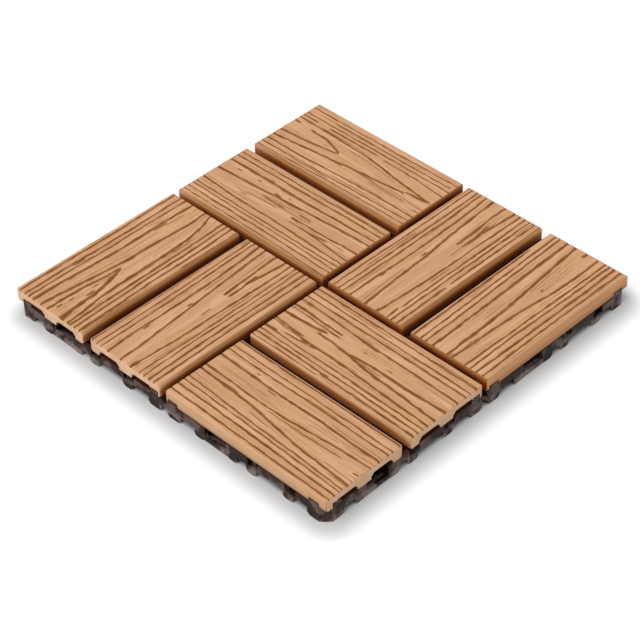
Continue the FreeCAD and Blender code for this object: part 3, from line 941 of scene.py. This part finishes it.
        # the top is sunk by the size of its swell, so that it never rises past the CAD shape
        sunk = self.swell.size
        grain = Grain(
            self.number, self.streaks, self.along, top + half, self.width,
            BOLDNESS.get(self.node, 1.0),
        )
        swell = self.swell.at(self.number * 7 + 3, self.along)
        swell = np.outer(swell, np.cos(top * self.swell_waves)) - sunk
        top_height = self.thickness - drop - self.groove_depth * grain.pressed + swell
        turn = np.linspace(0, math.pi / 2, self.round_rows + 1)[:1:-1]
        arc_out = field_half + self.top_round * np.cos(turn)
        lift = self.top_round * (1 - np.sin(turn))
        arc_height = np.minimum(self.thickness - lift, self.thickness - drop) - sunk

        under, under_height = self.underside()
        brink = self.thickness - self.top_round - sunk
        share = np.linspace(0, 1, self.side_rows + 1)[1:]
        low_side = under_height[:, :1] * (1 - share) + brink * share
        high_side = under_height[:, -1:] * (1 - share) + brink * share

        side = np.full(len(share), half)
        across = np.concatenate([under[::-1], -side, -arc_out[::-1], top, arc_out, side])
        height = np.concatenate([
            under_height[:, ::-1], low_side, arc_height[:, ::-1], top_height, arc_height,
            high_side[:, ::-1],
        ], axis=1)
        pull = self.rounding(self.corner_round)[:, None]
        near_side = np.clip((np.abs(across) - half) / self.corner_reach + 1, 0, 1) ** 2
        beside = across + half - np.sign(across) * near_side * pull
        points = np.stack(np.broadcast_arrays(self.along[:, None], beside, height), axis=-1)

        first_arc = len(under) + len(share)
        first_top = first_arc + len(arc_out)
        groove, top_face, under_face = np.zeros((3, *height.shape))
        groove[:, first_top:first_top + count] = grain.pressed
        top_face[:, first_arc:first_top + count + len(arc_out)] = 1.0
        under_face[:, :len(under)] = 1.0
        inwards = np.clip(self.from_outer_end / self.lit_reach, 0, 1)[:, None]
        unlit = self.rim_shade + (1 - self.rim_shade) * inwards
        gap_depth = self.gap_depth(across, height) * unlit
        gap_depth[1:-1] *= 1 - top_face[1:-1]
        marks = {
            "groove": groove, "top_face": top_face, "under_face": under_face,
            "gap_depth": gap_depth,
            "lip_shade": top_face * np.maximum(self.lip_shade(across) * unlit, self.end_edge_shade()),
        }
        return points, marks, grain.flow(np.clip(across + half, 0, self.width))

    def lip_shade(self, across: Array) -> Array:
        """How much painted shade shows on the lip along one long edge.

        Args:
            across: Places from the slat's middle line, one to a point of a ring.

        Returns:
            0 on the grained top, up to 1 on the lip.
        """
        along_y = self.lie is Lie.ALONG_Y
        if not along_y and self.low.x > 0:
            return np.zeros(len(across))
        from_edge = self.half - (across if along_y else -across)
        shown = np.clip((self.lip_width + self.lip_fade - from_edge) / self.lip_fade, 0, 1)
        fall = np.clip(1 + self.lip_full - from_edge / self.lip_width, 0, 1)
        shown = shown * (self.lip_least + (1 - self.lip_least) * fall)
        in_gap = self.faces_gap(1 - self.lie.value, self.high if along_y else self.low)
        return shown if in_gap else shown * self.rim_lip

    def end_edge_shade(self) -> Array:
        """Painted shade on the edge of the inner end on the back slats, one number to a ring."""
        from_inner_end = self.length - self.from_outer_end
        return (from_inner_end < self.end_lip)[:, None] * float(self.low.y > 0)

    def gap_depth(self, across: Array, height: Array) -> Array:
        """How deep each point lies in a gap between slats.

        Args:
            across: Places from the slat's middle line, one to a point of a ring.
            height: The height of each ring and point.

        Returns:
            0 at the top and on the tile's outer sides, up to 1 low in a gap.
        """
        wide = 1 - self.lie.value
        below_top = self.thickness - height
        depth = np.clip((below_top - self.shade_below_top) / self.shade_reach, 0, 1)
        low_share = float(self.faces_gap(wide, self.low))
        if self.lie is Lie.ALONG_X and self.low.x > 0:
            low_share *= self.open_gap_shade
        depth = depth * np.where(across < 0, low_share, float(self.faces_gap(wide, self.high)))
        end_depth = (below_top + self.end_shade_above_top) / self.shade_reach
        for ring, corner in ((0, self.low), (-1, self.high)):
            in_gap = self.faces_gap(self.lie.value, corner)
            depth[ring] = np.clip(end_depth[ring], 0, 1) * in_gap
        return depth

    def build(self) -> bpy.types.Object:
        """Makes the slat's mesh.

        Returns:
            The slat in its place in the row frame.
        """
        points, marks, flow = self.rings()
        placed = points[..., [self.lie.value, 1 - self.lie.value, 2]] + np.array(self.low)
        index = np.arange(flow.size).reshape(flow.shape)
        after = np.roll(index, -1, axis=1)
        quads = np.stack([index[:-1], after[:-1], after[1:], index[1:]], axis=-1).reshape(-1, 4)
        faces = quads.tolist() + [index[0][::-1].tolist(), index[-1].tolist()]
        mesh = bpy.data.meshes.new(f"{self.node}_grained")
        mesh.from_pydata((placed.reshape(-1, 3) * MM).tolist(), [], faces)
        self.tidy(mesh)
        for name, values in marks.items():
            layer = mesh.attributes.new(name, "FLOAT", "POINT")
            layer.data.foreach_set("value", values.ravel().astype(np.float32))
        # the finish's noise changes less down the slat, and each slat has its own part of it
        place = np.stack([points[..., 0], flow, points[..., 2] * self.grain_down], axis=-1)
        place += self.number * np.array(self.grain_shift)
        layer = mesh.attributes.new("grain", "FLOAT_VECTOR", "POINT")
        layer.data.foreach_set("vector", place.ravel().astype(np.float32))
        piece = bpy.data.objects.new(f"{self.node}_grained", mesh)
        bpy.context.scene.collection.objects.link(piece)
        return piece

    @staticmethod
    def tidy(mesh: bpy.types.Mesh) -> None:
        """Turns the faces outwards and smooths all but the sharp edges.

        Args:
            mesh: The slat's mesh.
        """
        work = bmesh.new()
        work.from_mesh(mesh)
        bmesh.ops.recalc_face_normals(work, faces=work.faces)
        work.to_mesh(mesh)
        work.free()
        mesh.polygons.foreach_set("use_smooth", np.ones(len(mesh.polygons), dtype=bool))
        mesh.set_sharp_from_angle(angle=math.radians(SHARP_ANGLE))

    def dress(self, piece: bpy.types.Object, body: Material, end: Material) -> None:
        """Gives the slat its finishes, and stands it in for its CAD node.

        Args:
            piece: The slat.
            body: The finish of its top, sides and underside.
            end: The finish of its two cut ends, the last faces of the mesh.
        """
        piece.data.materials.append(body)
        piece.data.materials.append(end)
        for cap in list(piece.data.polygons)[-2:]:
            cap.material_index = 1
        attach(piece, "root")
        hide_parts(self.node)


@dataclass
class Deck:
    """The eight slats."""

    body: CompositeFinish = CompositeFinish()
    ends: CutEndFinish = CutEndFinish()

    def build(self) -> None:
        """Builds, dresses and reports each slat."""
        body = self.body.make()
        end = self.ends.make()
        for number, (node, streaks) in enumerate(GRAIN.items(), start=1):
            slat = Slat(node, number, streaks)
            piece = slat.build()
            slat.dress(piece, body, end)
            log.info("%s: %d faces", piece.name, len(piece.data.polygons))


# Base and screws


@dataclass
class Underframe:
    """The moulded base and the screws in it, whose CAD shapes stay."""

    plastic: MouldedFinish = MouldedFinish()
    zinc: ZincFinish = ZincFinish()

    def dress(self, nodes: Mapping[str, bpy.types.Object]) -> None:
        """Gives each CAD node its finish.

        Args:
            nodes: The CAD nodes by name.
        """
        for name, finish in (("base_grid", self.plastic), ("fixing_screws", self.zinc)):
            node = nodes[name]
            material = finish.make()
            for slot in node.material_slots:
                slot.material = material
            if not node.material_slots:
                node.data.materials.append(material)
            log.info("%s: %s", name, material.name)


# Studio


@dataclass
class Camera:
    """The photograph's camera: angles in degrees, lengths in millimetres, focus in pixels."""

    azimuth: float = 45.312
    elevation: float = 41.06
    roll: float = -1.269
    distance: float = 1466.6
    focus: float = 2196.1
    target: Triple = (26.69, -29.42, 22.0)
    farthest: float = 50000.0

    def build(self) -> None:
        """Places the camera and makes it the scene's own."""
        lens = bpy.data.cameras.new("camera")
        lens.sensor_width = SENSOR_WIDTH
        lens.lens = self.focus / IMAGE_PIXELS * SENSOR_WIDTH
        lens.clip_end = self.farthest * MM
        camera = bpy.data.objects.new("camera", lens)
        axes = Matrix.Identity(4)
        for angle, axis in ((self.azimuth, "Z"), (90 - self.elevation, "X"), (self.roll, "Z")):
            axes = axes @ Matrix.Rotation(math.radians(angle), 4, axis)
        axes.translation = (Vector(self.target) + axes.col[2].xyz * self.distance) * MM
        camera.matrix_world = axes
        bpy.context.scene.collection.objects.link(camera)
        bpy.context.scene.camera = camera


@dataclass
class Studio:
    """A pale floor, one wide soft lamp from the front left, and an even white sky.

    Lengths are in millimetres. The floor is painted dark as shade from `floor_shade` inside the
    tile's edge, and starts to show as white at `shade_round` round a square that is moved by
    `shade_shift`, so that a painted shadow lies round the tile over its real one.
    """

    sky: float = 0.50
    key: float = 1.95
    key_angle: float = 48.0
    key_from: Triple = (0.06, -0.58, 1.0)
    floor_size: float = 12000.0
    floor_colour: float = 0.66
    # painted shade on the floor under the tile
    floor_under_shade: Colour = shade(58, 36, 26)
    floor_shade: float = 10.0
    floor_glow: float = 0.38
    glow_starts: float = 17.5
    shade_round: float = 8.0
    shade_shift: Pair = (4.2, -0.6)

    def build(self) -> None:
        """Builds the sky, the lamp and the floor."""
        self.make_sky()
        self.make_lamp()
        self.make_floor()
        bpy.context.scene.view_settings.view_transform = "Standard"

    @staticmethod
    def seen(tree: Tree) -> Value:
        """1 for rays from the camera and for those that metal and glass send on."""
        camera, glossy, passed = (
            tree.add("ShaderNodeLightPath", {}, output=name)
            for name in ("Is Camera Ray", "Is Glossy Ray", "Is Transmission Ray")
        )
        return camera.highest(glossy).highest(passed)

    def make_sky(self) -> None:
        """An even sky that shows as white."""
        world = bpy.data.worlds.new("sky")
        world.use_nodes = True
        bpy.context.scene.world = world
        tree = Tree(world.node_tree)
        strength = self.sky + self.seen(tree) * (1 - self.sky)
        sky = tree.add("ShaderNodeBackground", {"Color": WHITE, "Strength": strength})
        tree.surface(sky, "ShaderNodeOutputWorld")

    def make_lamp(self) -> None:
        """One wide soft lamp."""
        lamp = bpy.data.lights.new("key", "SUN")
        lamp.energy = self.key
        lamp.angle = math.radians(self.key_angle)
        stand = bpy.data.objects.new("key", lamp)
        stand.rotation_euler = Vector(self.key_from).to_track_quat("Z", "Y").to_euler()
        bpy.context.scene.collection.objects.link(stand)

    @staticmethod
    def beyond(tree: Tree, place: Value, edge: float) -> Value:
        """How far a place lies beyond a square about the origin, along each axis."""
        return tree.vector("SUBTRACT", tree.vector("ABSOLUTE", place), (edge, edge, 0.0))

    def make_floor(self) -> None:
        """A floor with painted shade under the tile, a painted shadow round it, and white
        elsewhere.
        """
        material, tree = new_material("floor")
        place = tree.place()
        away = self.beyond(tree, place, TILE_HALF * MM)
        from_edge = tree.axis("X", away).highest(tree.axis("Y", away))
        outside = from_edge.step(-self.floor_shade * MM, 0.0)
        # painted shade: a dark floor under the tile, seen through its openings
        dark = tree.add("ShaderNodeBsdfDiffuse", {"Color": self.floor_under_shade})
        plain = tree.add("ShaderNodeBsdfDiffuse", {"Color": (self.floor_colour,) * 3})
        matt = tree.add("ShaderNodeMixShader", {0: outside, 1: dark, 2: plain})
        glow = tree.add("ShaderNodeEmission", {"Color": WHITE, "Strength": self.floor_glow})
        lit = tree.add("ShaderNodeAddShader", {0: matt, 1: glow})
        # painted shadow: the white shows only clear of a rounded square round the tile, moved by
        # shade_shift
        shift_x, shift_y = self.shade_shift
        shifted = tree.vector("SUBTRACT", place, (shift_x * MM, shift_y * MM, 0.0))
        edge = self.shade_round * MM
        beside = self.beyond(tree, shifted, TILE_HALF * MM - edge)
        beside = tree.vector("MAXIMUM", beside, (0.0, 0.0, 0.0))
        distance = tree.vector("LENGTH", beside, output="Value")
        clear = distance.step(edge, edge + self.glow_starts * MM)
        tree.surface(tree.add("ShaderNodeMixShader", {0: self.seen(tree) * clear, 1: matt, 2: lit}))

        reach = self.floor_size * MM / 2
        corners = [(-reach, -reach, 0), (reach, -reach, 0), (reach, reach, 0), (-reach, reach, 0)]
        mesh = bpy.data.meshes.new("floor")
        mesh.from_pydata(corners, [], [(0, 1, 2, 3)])
        mesh.materials.append(material)
        floor = bpy.data.objects.new("floor", mesh)
        bpy.context.scene.collection.objects.link(floor)


def main() -> None:
    """Builds the tile, then the studio round it."""
    logging.basicConfig(level=logging.INFO, format="%(message)s")
    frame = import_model()
    Deck().build()
    Underframe().dress(frame["nodes"])
    Studio().build()
    Camera().build()


if __name__ == "__main__":
    main()
